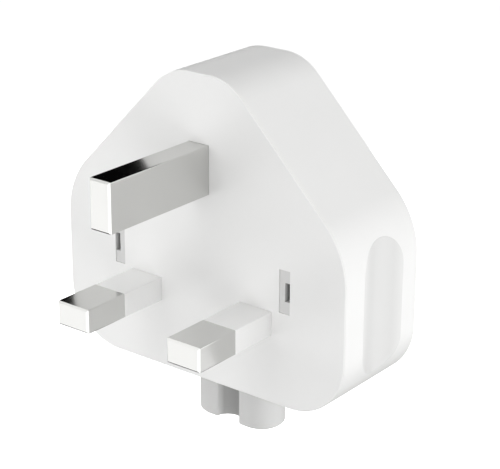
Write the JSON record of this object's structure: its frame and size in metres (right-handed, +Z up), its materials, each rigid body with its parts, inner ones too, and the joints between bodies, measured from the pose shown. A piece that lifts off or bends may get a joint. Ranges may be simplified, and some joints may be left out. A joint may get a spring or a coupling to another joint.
{
  "type": "uk three pin plug",
  "caption": "Mains plug head: rounded shield-shaped housing, flat pins with insulating sleeves, and a figure-of-eight connector peg for a power adaptor.",
  "frame": {"origin": "on the face that meets the socket, midway between the line and neutral pins", "axes": "+X to the right when facing the pins, +Y back through the housing away from the socket, +Z up towards the earth pin"},
  "size_m": [0.056, 0.0422, 0.0614],
  "materials": {
    "housing_white": "satin moulded polycarbonate",
    "sleeve_white": "satin moulded nylon",
    "peg_grey": "fine matt moulding",
    "inner_plastic": "as moulded",
    "pin_metal": "bright nickel plate on brass",
    "contact_brass": "plain brass",
    "spring_steel": "bright spring steel",
    "screw_steel": "zinc plate"
  },
  "bodies": {
    "root": {"front_shell": "housing_white", "rear_cover": "peg_grey", "pin_carrier": "inner_plastic", "pin_clamp_plate": "inner_plastic", "earth_pin": "pin_metal", "line_pin": "pin_metal", "neutral_pin": "pin_metal", "line_pin_sleeve": "sleeve_white", "neutral_pin_sleeve": "sleeve_white", "connector_peg": "peg_grey", "contact_cap": "inner_plastic", "line_contact": "contact_brass", "neutral_contact": "contact_brass", "line_contact_spring": "spring_steel", "neutral_contact_spring": "spring_steel", "line_strap": "contact_brass", "neutral_strap": "contact_brass", "line_rivet": "contact_brass", "neutral_rivet": "contact_brass", "clamp_screw_left": "screw_steel", "clamp_screw_right": "screw_steel"}
  },
  "joints": []
}
